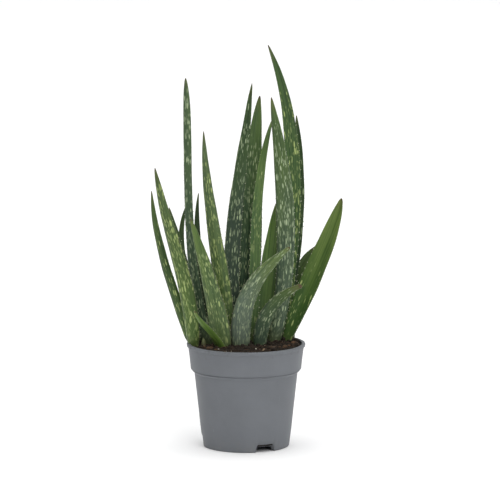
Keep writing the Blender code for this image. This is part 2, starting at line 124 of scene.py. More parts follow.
def count(label, about, value):
    return bpy.props.IntProperty(name=label, description=about, default=value, min=0)


def angle(label, about, degrees):
    return bpy.props.FloatProperty(name=label, description=about, default=math.radians(degrees),
                                   subtype="ANGLE", unit="ROTATION")


class AloePotSettings(bpy.types.PropertyGroup):
    """The pot's details and finish; its height and width come from its solid."""
    lip_height: length("Lip height", "Height of the rolled lip at the rim", 0.0030)
    lip_overhang: length("Lip overhang", "How far the lip stands out from the collar", 0.0014)
    band_height: length("Collar height", "From the rim's top to the collar's lower edge", 0.0258)
    band_taper: length("Collar taper", "How much narrower the collar is at its lower edge", 0.0026)
    step_depth: length("Step depth", "How far the body steps in below the collar", 0.0036)
    step_slope: length("Step slope", "Height of the sloped shoulder below the collar", 0.0028)
    foot_radius: length("Foot radius", "Outer radius where the pot meets the floor", 0.0437)
    foot_ring: length("Foot ring", "Width of the ring that the pot stands on", 0.0050)
    wall: length("Wall", "Wall thickness at the rim", 0.0022)
    notch_height: length("Notch height", "Height of the drainage notches in the foot", 0.0060)
    notch_reach: length("Notch reach", "How far a notch runs in under the pot", 0.0110)
    recess_height: length(
        "Recess height", "Height where the wall starts to fall back above a notch", 0.0108)
    recess_depth: length("Recess depth", "How far the wall would fall back at the floor", 0.0042)
    plastic: colour("Plastic", "Colour of the moulded plastic", (0.160, 0.170, 0.184))


class AloeSoilSettings(bpy.types.PropertyGroup):
    """Potting soil and what lies in it."""
    peat: colour("Peat", "Main colour of the soil", (0.021, 0.016, 0.012))
    bark: colour("Bark", "Colour of the bark chips", (0.062, 0.044, 0.032))
    grain: colour("Perlite", "Colour of the perlite grains", (0.44, 0.41, 0.34))
    crumbs: count("Crumbs", "How many loose crumbs lie on the soil", 1900)
    crumb_size: length("Crumb size", "Radius of an average crumb", 0.00085)
    fibres: count("Fibres", "How many root and peat fibres lie on the soil", 70)
    litter: count("Litter", "How many small extra bark flakes lie on the soil", 46)
    extra_grains: count(
        "Extra grains", "How many small extra perlite grains lie on the soil", 16)


class AloeLeafSettings(bpy.types.PropertyGroup):
    """Leaf skin and edges."""
    stations: count("Stations", "Rings of points along a leaf", 120)
    around: count("Points around", "Points around a leaf", 32)
    channel: share("Channel", "Depth of the inner channel as a share of leaf thickness", 0.30)
    tooth_height: length("Tooth height", "How far a marginal tooth stands out", 0.0012)
    tooth_width: length("Tooth width", "Width of a tooth along the margin", 0.0013)
    tooth_spacing: length("Tooth spacing", "Average distance between teeth", 0.0062)
    fleck: colour("Flecks", "Colour of the pale flecks", (0.38, 0.46, 0.25))
    bloom: colour("Bloom", "Colour of the waxy bloom", (0.135, 0.178, 0.132))
    tooth: colour("Teeth", "Colour of the horny teeth", (0.50, 0.52, 0.36))
    tip: colour("Tip", "Colour of dried leaf tips", (0.075, 0.050, 0.028))


class AloeStageSettings(bpy.types.PropertyGroup):
    """Floor, lights and camera."""
    distance: length("Camera distance", "From the camera to the point it looks at", 4.0)
    elevation: angle("Camera elevation", "How far the camera looks down", 8.5)
    view_width: length("View width", "Width of what the camera sees at the plant", 0.502)
    aim_side: length(
        "Aim sideways", "The point looked at, sideways from the pot's middle", 0.004, -1.0)
    aim_height: length("Aim height", "The point looked at, above the floor", 0.1990)
    floor: colour("Floor", "Colour of the floor and backdrop", (0.95, 0.95, 0.95))


# ---- meshes ----

def finished_mesh(name, vertices, faces, smooth_angle=None):
    mesh = bpy.data.meshes.new(name)
    mesh.from_pydata([tuple(v) for v in vertices], [], faces)
    mesh.validate()
    shape = bmesh.new()
    shape.from_mesh(mesh)
    bmesh.ops.recalc_face_normals(shape, faces=shape.faces)
    shape.to_mesh(mesh)
    shape.free()
    mesh.shade_smooth()
    if smooth_angle is not None:
        mesh.set_sharp_from_angle(angle=math.radians(smooth_angle))
    return mesh


def place(name, mesh, materials, nodes=()):
    """Link a piece, let it ride on the plant's body and stand for the named solids."""
    old = bpy.data.objects.get(name)
    if old is not None:
        bpy.data.objects.remove(old)
    thing = bpy.data.objects.new(name, mesh)
    bpy.context.scene.collection.objects.link(thing)
    for finish in materials:
        mesh.materials.append(finish)
    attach(thing, ROOT)
    if nodes:
        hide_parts(*nodes)


def circle(around):
    """Cosine and sine of evenly spaced turns."""
    turns = [FULL_TURN * i / around for i in range(around)]
    return [(math.cos(turn), math.sin(turn)) for turn in turns]


def ring_faces(rings, around):
    faces = []
    for ring in range(rings - 1):
        low = ring * around
        high = low + around
        for i in range(around):
            j = (i + 1) % around
            faces.append((low + i, low + j, high + j, high + i))
    return faces


def tube_faces(rings, around):
    """Faces of a tube of rings with a flat cap at both ends."""
    caps = [tuple(reversed(range(around))), tuple((rings - 1) * around + i for i in range(around))]
    return ring_faces(rings, around) + caps


def pointed_faces(rings, around):
    """A tube with a flat foot that ends in one more point after its last ring."""
    last = (rings - 1) * around
    fan = [(last + i, last + (i + 1) % around, last + around) for i in range(around)]
    return ring_faces(rings, around) + [tuple(reversed(range(around)))] + fan


def smoothstep(value, start, end):
    part = np.clip((value - start) / (end - start), 0.0, 1.0)
    return float(part * part * (3 - 2 * part))


def rounded(corners, steps=5, longest=0.45):
    """An outline of (radius, height, rounding) corners with each corner eased by a short arc."""
    outline = []
    for i, (radius, height, ease) in enumerate(corners):
        here = Vector((radius, height))
        if ease <= 0 or i in (0, len(corners) - 1):
            outline.append(here)
            continue
        before = Vector(corners[i - 1][:2]) - here
        after = Vector(corners[i + 1][:2]) - here
        start = here + before.normalized() * min(ease, longest * before.length)
        end = here + after.normalized() * min(ease, longest * after.length)
        for step in range(steps + 1):
            part = step / steps
            curve = start * (1 - part) ** 2 + here * 2 * part * (1 - part) + end * part ** 2
            outline.append(curve)
    return outline


def store_values(mesh, name, values):
    layer = mesh.attributes.new(name, "FLOAT", "POINT")
    layer.data.foreach_set("value", np.asarray(values, np.float32))


class Heap:
    """Vertices, faces and a tone for each vertex, gathered into one piece."""

    def __init__(self):
        self.vertices, self.faces, self.tones = [], [], []

    def add(self, vertices, faces, tone):
        first = len(self.vertices)
        self.vertices.extend(vertices)
        self.faces.extend(tuple(first + i for i in face) for face in faces)
        self.tones.extend([tone] * len(vertices))

    def place(self, name, finish, slot, nodes=(), smooth_angle=None):
        mesh = finished_mesh(name, self.vertices, self.faces, smooth_angle)
        store_values(mesh, "tone", self.tones)
        place(name, mesh, [finish], nodes)


# ---- shader wiring ----

class Wiring:
    """Short calls for building a node tree."""

    def __init__(self, tree):
        self.tree = tree

    def feed(self, socket, value):
        if isinstance(value, bpy.types.NodeSocket):
            self.tree.links.new(value, socket)
        else:
            socket.default_value = value

    def add(self, kind, inputs=None, **settings):
        made = self.tree.nodes.new(kind)
        for key, value in settings.items():
            setattr(made, key, value)
        for key, value in (inputs or {}).items():
            self.feed(made.inputs[key], value)
        return made

    def math(self, operation, a, b=0.0):
        return self.add("ShaderNodeMath", {0: a, 1: b}, operation=operation).outputs[0]

    def plus(self, a, b):
        return self.math("ADD", a, b)

    def minus(self, a, b):
        return self.math("SUBTRACT", a, b)

    def times(self, a, b):
        return self.math("MULTIPLY", a, b)

    def ramp(self, value, low, high, start=0.0, end=1.0):
        inputs = {"Value": value, "From Min": low, "From Max": high, "To Min": start, "To Max": end}
        made = self.add("ShaderNodeMapRange", inputs, interpolation_type="SMOOTHSTEP")
        return made.outputs["Result"]

    def mix(self, factor, a, b, blend="MIX"):
        made = self.add("ShaderNodeMix", data_type="RGBA", blend_type=blend)
        for place_in, value in ((0, factor), (6, a), (7, b)):
            self.feed(made.inputs[place_in], value)
        return made.outputs[2]

    def tint(self, under, mask, amount, over):
        """Lay one colour over another where a mask says, up to an amount."""
        return self.mix(self.times(mask, amount), under, over)

    def noise(self, vector, scale, detail, rough, output="Fac"):
        inputs = {"Vector": vector, "Scale": scale, "Detail": detail, "Roughness": rough}
        return self.add("ShaderNodeTexNoise", inputs).outputs[output]

    def vector_math(self, operation, a, b):
        return self.add("ShaderNodeVectorMath", {0: a, 1: b}, operation=operation).outputs[0]

    def stretch(self, vector, scale):
        return self.vector_math("MULTIPLY", vector, scale)

    def attribute(self, name, output="Fac"):
        return self.add("ShaderNodeAttribute", attribute_name=name).outputs[output]

    def bump(self, height, distance, strength):
        inputs = {"Height": height, "Distance": distance, "Strength": strength}
        return self.add("ShaderNodeBump", inputs).outputs["Normal"]

    def group(self, tree, inputs):
        return self.add("ShaderNodeGroup", inputs, node_tree=tree).outputs

    def height_of(self, spot):
        return self.add("ShaderNodeSeparateXYZ", {"Vector": spot}).outputs["Z"]


def rgba(values):
    return (values[0], values[1], values[2], 1.0)


def scaled(base, *factors):
    """A colour times one factor, or times one factor for each channel."""
    each = factors * 3 if len(factors) == 1 else factors
    return rgba([min(c * k, 1.0) for c, k in zip(base, each)])


def new_socket(tree, label, side, value):
    """Add a socket to a group; its kind follows its starting value, and None is a vector."""
    kind = "NodeSocketColor" if isinstance(value, tuple) else "NodeSocketFloat"
    if value is None:
        kind = "NodeSocketVector"
    socket = tree.interface.new_socket(label, in_out=side, socket_type=kind)
    if value is not None:
        socket.default_value = value


def shared_group(name, inputs, outputs, fill):
    """A shader group, built the first time that it is asked for."""
    tree = bpy.data.node_groups.get(name)
    if tree is not None:
        return tree
    tree = bpy.data.node_groups.new(name, "ShaderNodeTree")
    for side, sockets in (("INPUT", inputs), ("OUTPUT", outputs)):
        for label, value in sockets.items():
            new_socket(tree, label, side, value)
    wiring = Wiring(tree)
    given = wiring.add("NodeGroupInput").outputs
    fill(wiring, given, wiring.add("NodeGroupOutput").inputs)
    return tree


def fill_grain(w, given, out):
    coarse = w.noise(given["Vector"], given["Coarse"], 4.0, 0.6)
    fine = w.noise(given["Vector"], given["Fine"], 2.0, 0.5)
    w.feed(out["Mottle"], w.ramp(coarse, 0.30, 0.70))
    w.feed(out["Speckle"], w.ramp(fine, 0.35, 0.65))
    w.feed(out["Height"], w.plus(w.times(coarse, 0.5), w.times(fine, 0.5)))


def grain_group():
    """Fine moulded or fibrous grain: a soft mottle, a fine speckle and a height."""
    return shared_group("aloe grain", {"Vector": None, "Coarse": 60.0, "Fine": 1200.0},
                        {"Mottle": 0.0, "Speckle": 0.0, "Height": 0.0}, fill_grain)


def fleck_layer(w, skin, wander, chance, pitch, least, spread):
    """Long drops, each there or not by chance, with its own size and faintness."""
    way = w.vector_math("ADD", w.stretch(skin, pitch), w.stretch(wander, (0.7, 0.8, 0.0)))
    inputs = {"Vector": way, "Scale": 1.0, "Randomness": 0.9}
    cells = w.add("ShaderNodeTexVoronoi", inputs, feature="F1").outputs
    draws = w.add("ShaderNodeSeparateColor", {"Color": cells["Color"]}).outputs
    shown = w.ramp(w.minus(chance, draws[0]), -0.05, 0.12)
    size = w.plus(least, w.times(draws[1], spread))
    drop = w.ramp(w.minus(size, cells["Distance"]), -0.10, 0.12)
    faint = w.plus(0.45, w.times(draws[2], 0.65))
    return w.times(w.times(drop, shown), faint)


def fill_skin(w, given, out):
    skin = given["Skin"]

    def pattern(across, along, apart, detail, rough, output="Fac"):
        return w.noise(w.stretch(skin, (across, along, apart)), 1.0, detail, rough, output)

    wander = pattern(170.0, 80.0, 1.0, 2.0, 0.5, "Color")
    bands = pattern(30.0, 84.0, 40.0, 2.0, 0.6)
    fade = w.minus(1.0, w.ramp(w.minus(given["Along"], given["Fleck End"]), -0.20, 0.02))
    chance = w.times(w.times(given["Flecks"], w.ramp(bands, 0.28, 0.62, 0.35, 1.15)), fade)
    large = fleck_layer(w, skin, wander, chance, (540.0, 125.0, 40.0), 0.24, 0.24)
    small = fleck_layer(w, skin, wander, w.times(chance, 0.60), (900.0, 170.0, 60.0), 0.22, 0.20)
    fleck = w.math("MAXIMUM", large, w.times(small, 0.62))

    ribs = pattern(640.0, 6.0, 30.0, 2.0, 0.6)
    hairs = pattern(1200.0, 18.0, 30.0, 2.0, 0.6)
    broad = pattern(95.0, 20.0, 20.0, 3.0, 0.55)
    climb = w.plus(given["Along"], w.times(w.minus(broad, 0.5), 0.35))
    tone = w.mix(w.ramp(climb, 0.22, 0.86), given["Low Tone"], given["High Tone"])
    for grain, start, end, amount, factors in (
        (broad, 0.62, 0.30, 0.75, (0.62, 0.70, 0.74, 1.0)),
        (ribs, 0.52, 0.34, 0.62, (0.42, 0.50, 0.52, 1.0)),
        (ribs, 0.54, 0.74, 0.36, (1.60, 1.48, 1.36, 1.0)),
        (hairs, 0.52, 0.74, 0.30, (1.60, 1.50, 1.40, 1.0)),
    ):
        tone = w.mix(w.ramp(grain, start, end, 0.0, amount), tone, factors, "MULTIPLY")

    mist = pattern(70.0, 34.0, 25.0, 4.0, 0.65)
    fall = w.times(w.minus(given["Low Bloom"], given["High Bloom"]), w.ramp(climb, 0.85, 0.15))
    wax = w.plus(given["High Bloom"], fall)
    bloom = w.times(wax, w.ramp(mist, 0.25, 0.70, 0.40, 1.0))
    edge = w.ramp(w.math("ABSOLUTE", given["Across"]), 0.965, 0.998)
    pale_foot = w.ramp(given["Along"], 0.10, 0.0)
    ragged = w.plus(given["To Tip"], w.times(w.minus(hairs, 0.5), 0.005))
    left = w.math("DIVIDE", ragged, given["Dry Length"])
    for mask, amount, over in (
        (bloom, 1.0, given["Bloom Colour"]),
        (fleck, 0.92, given["Fleck Colour"]),
        (edge, 0.45, (0.20, 0.20, 0.13, 1.0)),
        (pale_foot, 0.45, (0.15, 0.17, 0.065, 1.0)),
        (w.ramp(left, 5.0, 1.0), 0.30, (0.15, 0.13, 0.045, 1.0)),
        (w.ramp(left, 1.1, 0.35), 0.9, given["Tip Colour"]),
    ):
        tone = w.tint(tone, mask, amount, over)
    w.feed(out["Colour"], tone)
    rough = w.plus(0.38, w.times(bloom, 0.22))
    rough = w.plus(rough, w.times(fleck, 0.08))
    w.feed(out["Roughness"], w.plus(rough, w.times(broad, 0.10)))
    pores = pattern(3000.0, 1400.0, 50.0, 2.0, 0.5)
    height = w.plus(w.times(fleck, 0.50), w.times(ribs, 1.1))
    w.feed(out["Height"], w.plus(height, w.times(pores, 0.16)))


def skin_group():
    """Aloe skin: two tones with ribs, banded flecks, wax bloom, pale foot and dried tip."""
    green = (0.06, 0.1, 0.04, 1.0)
    inputs = {
        "Skin": None, "Along": 0.5, "Across": 0.0, "To Tip": 0.1, "Low Tone": green,
        "High Tone": green, "Fleck Colour": (0.34, 0.42, 0.24, 1.0),
        "Bloom Colour": (0.15, 0.19, 0.155, 1.0), "Tip Colour": (0.08, 0.05, 0.03, 1.0),
        "Flecks": 0.5, "Low Bloom": 0.2, "High Bloom": 0.0, "Fleck End": 0.9, "Dry Length": 0.004,
    }
    outputs = {"Colour": (0.0, 0.0, 0.0, 1.0), "Roughness": 0.0, "Height": 0.0}
    return shared_group("aloe skin", inputs, outputs, fill_skin)


def new_material(name, specular=None):
    old = bpy.data.materials.get(name)
    if old is not None:
        bpy.data.materials.remove(old)
    finish = bpy.data.materials.new(name)
    finish.use_nodes = True
    shader = finish.node_tree.nodes["Principled BSDF"].inputs
    if specular is not None:
        shader["Specular IOR Level"].default_value = specular
    return finish, Wiring(finish.node_tree), shader


def grained_material(name, coarse, fine, relief=None, specular=None, pull=None):
    """A material with the shared grain on it: its wiring, shader inputs, spot and grain."""
    finish, w, shader = new_material(name, specular)
    spot = w.add("ShaderNodeTexCoord").outputs["Object"]
    way = w.stretch(spot, pull) if pull else spot
    parts = w.group(grain_group(), {"Vector": way, "Coarse": coarse, "Fine": fine})
    if relief:
        w.feed(shader["Normal"], w.bump(parts["Height"], *relief))
    return finish, w, shader, spot, parts


def fleck_colour(base, tone):
    """Flecks are bluer on blue-green skin and yellower on yellow-green skin."""
    blue = min(max(tone[2] / tone[1] / 0.45, 0.66), 1.1)
    return rgba((base[0], base[1], base[2] * blue))


def leaf_material(name, look, settings):
    low_tone, high_tone, flecks, low_bloom, high_bloom, fleck_end, dry_length = look
    finish, w, shader = new_material(name, 0.20)
    parts = w.group(skin_group(), {
        "Skin": w.attribute("skin", "Vector"), "Along": w.attribute("along"),
        "Across": w.attribute("across"), "To Tip": w.attribute("to_tip"),
        "Low Tone": scaled(low_tone, THOUSANDTH), "High Tone": scaled(high_tone, THOUSANDTH),
        "Fleck Colour": fleck_colour(settings.fleck, low_tone),
        "Bloom Colour": rgba(settings.bloom), "Tip Colour": rgba(settings.tip),
        "Flecks": flecks, "Low Bloom": low_bloom, "High Bloom": high_bloom,
        "Fleck End": fleck_end, "Dry Length": dry_length * THOUSANDTH,
    })
    w.feed(shader["Base Color"], parts["Colour"])
    w.feed(shader["Roughness"], parts["Roughness"])
    w.feed(shader["Normal"], w.bump(parts["Height"], 0.00035, 0.55))
    shader["Subsurface Weight"].default_value = 0.06
    shader["Subsurface Radius"].default_value = (0.0012, 0.0020, 0.0006)
    shader["Subsurface Scale"].default_value = 1.0
    return finish


def tooth_material(settings):
    """Horny teeth, one material for all the leaves."""
    name = "aloe horny teeth"
    made = bpy.data.materials.get(name)
    if made is not None:
        return made
    finish, w, shader, _, parts = grained_material(name, 400.0, 2500.0, (0.0001, 0.4))
    dull = scaled(settings.tooth, 0.6, 0.7, 0.6)
    w.feed(shader["Base Color"], w.tint(rgba(settings.tooth), parts["Mottle"], 0.5, dull))
    w.feed(shader["Roughness"], w.plus(0.38, w.times(parts["Speckle"], 0.12)))
    return finish


def plastic_material(settings):
    """Grey moulded plastic: mottle, fine grain, faint scuffs, soil near the rim, dust below."""
    finish, w, shader, spot, parts = grained_material(
        "grey moulded plastic", 26.0, 1500.0, (0.00012, 0.45), 0.16)
    light = scaled(settings.plastic, 1.05)
    shade = w.mix(parts["Mottle"], scaled(settings.plastic, 0.95), light)
    shade = w.tint(shade, parts["Speckle"], 0.10, light)
    slant = {"Vector": spot, "Rotation": (0.35, 0.2, 0.6), "Scale": (900.0, 900.0, 55.0)}
    scuffs = w.noise(w.add("ShaderNodeMapping", slant).outputs[0], 1.0, 2.0, 0.5)
    patches = w.noise(spot, 38.0, 3.0, 0.6)
    worn = w.times(w.ramp(scuffs, 0.66, 0.80), w.ramp(patches, 0.48, 0.66))
    height = w.height_of(spot)
    rim = POT_HIGH.z
    smears = w.ramp(w.noise(spot, 130.0, 4.0, 0.7), 0.52, 0.74)
    smear = w.times(w.ramp(height, rim - 0.016, rim), smears)
    dusting = w.ramp(w.noise(spot, 90.0, 4.0, 0.7), 0.42, 0.75)
    dust = w.times(w.ramp(height, 0.020, 0.0), dusting)
    for mask, amount, over in (
        (worn, 0.30, (0.33, 0.34, 0.35, 1.0)),
        (smear, 0.35, (0.060, 0.050, 0.042, 1.0)),
        (dust, 0.22, (0.24, 0.22, 0.19, 1.0)),
    ):
        shade = w.tint(shade, mask, amount, over)
    w.feed(shader["Base Color"], shade)
    rough = w.plus(0.44, w.times(parts["Mottle"], 0.08))
    rough = w.plus(rough, w.times(worn, 0.12))
    w.feed(shader["Roughness"], w.plus(rough, w.times(smear, 0.20)))
    return finish


def earth_material(name, base, contrast, coarse, fine, rough=0.9):
    """Soil, bark, perlite or wood: mottled, speckled and rough, warmer where its tone says."""
    finish, w, shader, _, parts = grained_material(name, coarse, fine, (0.0005, 0.8), 0.2)
    dark = scaled(base, 1 - 0.55 * contrast)
    warm = scaled(base, 1 + 1.9 * contrast, 1 + 0.9 * contrast, 1.0)
    shade = w.mix(parts["Mottle"], dark, scaled(base, 1 + 1.1 * contrast))
    shade = w.tint(shade, parts["Speckle"], 0.35, dark)
    w.feed(shader["Base Color"], w.tint(shade, w.attribute("tone"), 0.75, warm))
    w.feed(shader["Roughness"], w.plus(rough - 0.08, w.times(parts["Speckle"], 0.12)))
    return finish


def crown_material():
    finish, w, shader, spot, parts = grained_material(
        "pale fleshy crown", 60.0, 700.0, (0.0004, 0.6), pull=(6.0, 6.0, 1.0))
    shade = w.mix(parts["Mottle"], (0.16, 0.20, 0.075, 1.0), (0.25, 0.27, 0.12, 1.0))
    soiled = w.ramp(w.height_of(spot), SOIL_HIGH.z + 0.001, SOIL_HIGH.z - 0.006)
    w.feed(shader["Base Color"], w.tint(shade, soiled, 0.75, (0.07, 0.045, 0.026, 1.0)))
    w.feed(shader["Roughness"], w.plus(0.48, w.times(parts["Speckle"], 0.15)))
    return finish


def backdrop_material(settings):
    finish, w, shader, _, parts = grained_material("pale studio floor", 3.0, 200.0, None, 0.1)
    shade = w.mix(parts["Mottle"], scaled(settings.floor, 0.985), rgba(settings.floor))
    w.feed(shader["Base Color"], shade)
    w.feed(shader["Roughness"], w.plus(0.85, w.times(parts["Speckle"], 0.05)))
    return finish


# ---- measuring solids ----

def solid_arrays(name):
    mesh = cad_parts[name].data
    points = np.zeros(len(mesh.vertices) * 3)
    mesh.vertices.foreach_get("co", points)
    mesh.calc_loop_triangles()
    corners = np.zeros(len(mesh.loop_triangles) * 3, np.int64)
    mesh.loop_triangles.foreach_get("vertices", corners)
    return points.reshape(-1, 3), corners.reshape(-1, 3)


def flat_extent(points):
    """A solid's two main directions seen from above, and how far it reaches along each."""
    flat = points[:, :2] - points[:, :2].mean(0)
    axes = np.linalg.svd(flat, full_matrices=False)[2]
    return axes, [0.5 * np.ptp(flat @ axis) for axis in axes]


def slice_points(points, triangles, centre, normal, reach):
    """Where a plane crosses the solid's edges, near a centre."""
    above = (points - centre) @ normal
    found = []
    for a, b in ((0, 1), (1, 2), (2, 0)):
        first, second = triangles[:, a], triangles[:, b]
        crossing = above[first] * above[second] < 0
        first, second = first[crossing], second[crossing]
        part = above[first] / (above[first] - above[second])
        found.append(points[first] + (points[second] - points[first]) * part[:, None])
    found = np.concatenate(found)
    return found[np.linalg.norm(found - centre, axis=1) < reach]


class LeafShape:
    """A leaf's midline, width, thickness and facing, read from its solid and evened out."""
    SAMPLES = 64
    LOW_GAP, HIGH_GAP = 0.004, 0.0025       # from the solid's ends to its first and last slice
    NEAR = 0.030                            # how far from its centre a slice can reach
    LAST = 0.975                            # where the drawn-out tip starts, along the leaf

    def __init__(self, name):
        points, triangles = solid_arrays(name)
        low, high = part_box(name)
        tip = points[np.argmax(points[:, 2])]
        up = np.array([0.0, 0.0, 1.0])
        centres = []
        for level in np.linspace(low.z + self.LOW_GAP, high.z - self.HIGH_GAP, self.SAMPLES):
            cut = slice_points(points, triangles, up * level, up, 10.0)
            centres.append(0.5 * (cut.min(0) + cut.max(0)))
        centres = np.array(centres + [tip])
        for _ in range(2):
            tangents = np.gradient(centres, axis=0)
            tangents /= np.linalg.norm(tangents, axis=1)[:, None]
            rows = [self.measure(points, triangles, centre, tangent)
                    for centre, tangent in zip(centres[:-1], tangents[:-1])]
            centres = np.array([row[0] for row in rows] + [tip])
        away = np.r_[0.0, np.cumsum(np.linalg.norm(np.diff(centres, axis=0), axis=1))]
        self.length = away[-1]
        part = away / self.length
        clear = np.where(centres[:, 2] < SOIL_HIGH.z - 0.004, 0.25, 1.0)
        clear[-1] = 6.0
        self.midline = [np.polyfit(part, centres[:, k], 5, w=clear) for k in range(3)]
        sides = np.array([row[1] for row in rows])
        sides *= np.sign(sides @ sides[len(sides) // 2])[:, None]
        self.side = [np.polyfit(part[:-1], sides[:, k], 3, w=clear[:-1]) for k in range(3)]
        facing = [np.sign(np.dot(row[2], np.cross(side, tangent)))
                  for row, side, tangent in zip(rows, sides, tangents[:-1])]
        self.turn = 1.0 if sum(facing) >= 0 else -1.0
        self.part = part[:-1]
        self.half = self.even([row[3] for row in rows])
        self.depth = self.even([row[4] for row in rows])

    def measure(self, points, triangles, centre, tangent):
        """Mid-margin point, side and inner directions, half width and outer depth of a slice."""
        cut = slice_points(points, triangles, centre, tangent, self.NEAR)
        middle = cut.mean(0)
        side = np.linalg.svd(cut - middle, full_matrices=False)[2][0]
        side = side / np.linalg.norm(side)
        across = (cut - middle) @ side
        margin = 0.5 * (cut[np.argmin(across)] + cut[np.argmax(across)])
        bulk = margin - middle
        inner = bulk - side * (bulk @ side)
        inner -= tangent * (inner @ tangent)
        inner /= max(np.linalg.norm(inner), 1e-9)
        depth = np.max((margin - cut) @ inner)
        return margin, side, inner, 0.5 * (across.max() - across.min()), depth

    @staticmethod
    def even(values):
        padded = np.pad(np.array(values), 2, mode="edge")
        return np.convolve(padded, np.array([1, 2, 3, 2, 1]) / 9.0, mode="valid")

    def at(self, part):
        """Midline point, tangent, side and inner direction at a fraction of the length."""
        centre = np.array([np.polyval(k, part) for k in self.midline])
        tangent = np.array([np.polyval(np.polyder(k), part) for k in self.midline])
        tangent /= np.linalg.norm(tangent)
        side = np.array([np.polyval(k, min(part, 0.97)) for k in self.side])
        side -= tangent * (side @ tangent)
        side /= np.linalg.norm(side)
        return centre, tangent, side, np.cross(side, tangent) * self.turn

    def width_at(self, part):
        """Half width and outer depth, drawn in to a fine point beyond the last slices."""
        half = np.interp(min(part, self.LAST), self.part, self.half)
        depth = np.interp(min(part, self.LAST), self.part, self.depth)
        if part > self.LAST:
            left = (1 - part) / (1 - self.LAST)
            half *= left ** 0.55
            depth *= left ** 0.50
        return half, depth


# ---- leaves ----

def cross_section(settings, seed, part, length, half, depth):
    """Sideways and inward place of each point of one ring, and on which face it is."""
    channel = settings.channel * depth * smoothstep(part, 0.02, 0.30) * (1.0 + 0.5 * part)
    sway = 0.00035 * noise.noise(Vector((seed * 0.37, length * 38.0, 0.0)))
    for u, v in circle(settings.around):
        rise = abs(v)
        lift = 0.00022 * noise.noise(Vector((u * 1.3, length * 55.0, seed * 0.11)))
        outer = v >= 0
        if outer:
            lift -= depth * rise ** 0.86
        else:
            lift += 0.04 * depth * rise - channel * (1 - abs(u)) ** 1.15
        yield u, u * (half * (1 - 0.012 * rise) + sway * u), lift, 0.0 if outer else 1.0


def build_leaf(name, settings):
    """One leaf; marks hold each point's place on the skin, along, across and to the tip."""
    shape = LeafShape(name)
    seed = sum(ord(letter) * (k + 3) for k, letter in enumerate(name))
    layer = seed % 97
    even = np.linspace(0.0, 1.0, settings.stations)
    stations = (1 - (1 - even) ** 1.25)[:-1]
    vertices, marks = [], []
    for part in stations:
        centre, _, side, inner = shape.at(part)
        half, depth = shape.width_at(part)
        length = part * shape.length
        for u, reach, lift, face in cross_section(settings, seed, part, length, half, depth):
            vertices.append(centre + side * reach + inner * lift)
            marks.append((u * half * 1.15, length, face + layer, part, u, shape.length - length))
    vertices.append(shape.at(1.0)[0])
    marks.append((0.0, shape.length, layer, 1.0, 0.0, 0.0))
    faces = pointed_faces(len(stations), settings.around)
    body_faces = len(faces)
    add_teeth(shape, settings, random.Random(seed), layer, vertices, faces, marks)
    mesh = finished_mesh(name + "_skin", vertices, faces)
    marks = np.array(marks, np.float32)
    skin = mesh.attributes.new("skin", "FLOAT_VECTOR", "POINT")
    skin.data.foreach_set("vector", marks[:, :3].ravel())
    for column, label in enumerate(("along", "across", "to_tip"), 3):
        store_values(mesh, label, marks[:, column])
    look = LEAF_LOOKS.get(name.removeprefix("leaf_"), OTHER_LEAF)
    finish = leaf_material(name.replace("leaf_", "skin of the leaf "), look, settings)
    place(name + "_skin", mesh, [finish, tooth_material(settings)], [name])
    slots = np.zeros(len(mesh.polygons), np.int32)
    slots[body_faces:] = 1
    mesh.polygons.foreach_set("material_index", slots)


TOOTH_SIDES = 6
# Each ring of a tooth: how far out, how thick, and how far hooked towards the leaf's tip.
TOOTH_RINGS = ((0.0, 1.0, 0.0), (0.55, 0.55, 0.22), (0.85, 0.22, 0.48))
TOOTH_HOOK = 0.70
TOOTH_SINK = 0.0003


def add_teeth(shape, settings, draw, layer, vertices, faces, marks):
    """Small horny teeth along both margins, hooked a little towards the tip."""
    tooth_faces = pointed_faces(len(TOOTH_RINGS), TOOTH_SIDES)
    for hand in (-1.0, 1.0):
        distance = 0.010 + 0.004 * draw.random()
        while distance < shape.length * 0.965:
            part = distance / shape.length
            centre, tangent, side, inner = shape.at(part)
            half, _ = shape.width_at(part)
            grown = (0.55 + 0.45 * smoothstep(part, 0.95, 0.35)) * draw.uniform(0.75, 1.2)
            grown *= min(1.0, half / 0.003)
            tall = settings.tooth_height * grown
            wide = 0.5 * settings.tooth_width * grown
            out = side * hand
            root = centre + out * (half - TOOTH_SINK)
            first = len(vertices)
            for level, thin, lean in TOOTH_RINGS:
                for u, v in circle(TOOTH_SIDES):
                    point = root + out * tall * level
                    point = point + tangent * (wide * thin * u + tall * lean)
                    vertices.append(point + inner * (0.45 * wide * thin * v))
            vertices.append(root + out * tall + tangent * tall * TOOTH_HOOK)
            faces.extend(tuple(first + i for i in face) for face in tooth_faces)
            mark = (hand * half, distance, layer, part, hand, shape.length - distance)
            marks.extend([mark] * (len(vertices) - first))
            distance += settings.tooth_spacing * draw.uniform(0.65, 1.4) * (0.8 + 0.7 * part)


# ---- pot ----

POT_COLUMNS = 480
NOTCH_TURNS = (27.0, 147.0, -93.0)
NOTCH_TOP_SPAN = 22.0
NOTCH_FOOT_SPAN = 29.0


def notch_strength(turn):
    """1 inside a foot notch, 0 outside, with slanted sides; turn is measured from the front."""
    off = min(abs((turn - middle + 180.0) % 360.0 - 180.0) for middle in NOTCH_TURNS)
    inside = (0.5 * NOTCH_FOOT_SPAN - off) / (0.5 * (NOTCH_FOOT_SPAN - NOTCH_TOP_SPAN))
    return min(max(inside, 0.0), 1.0)


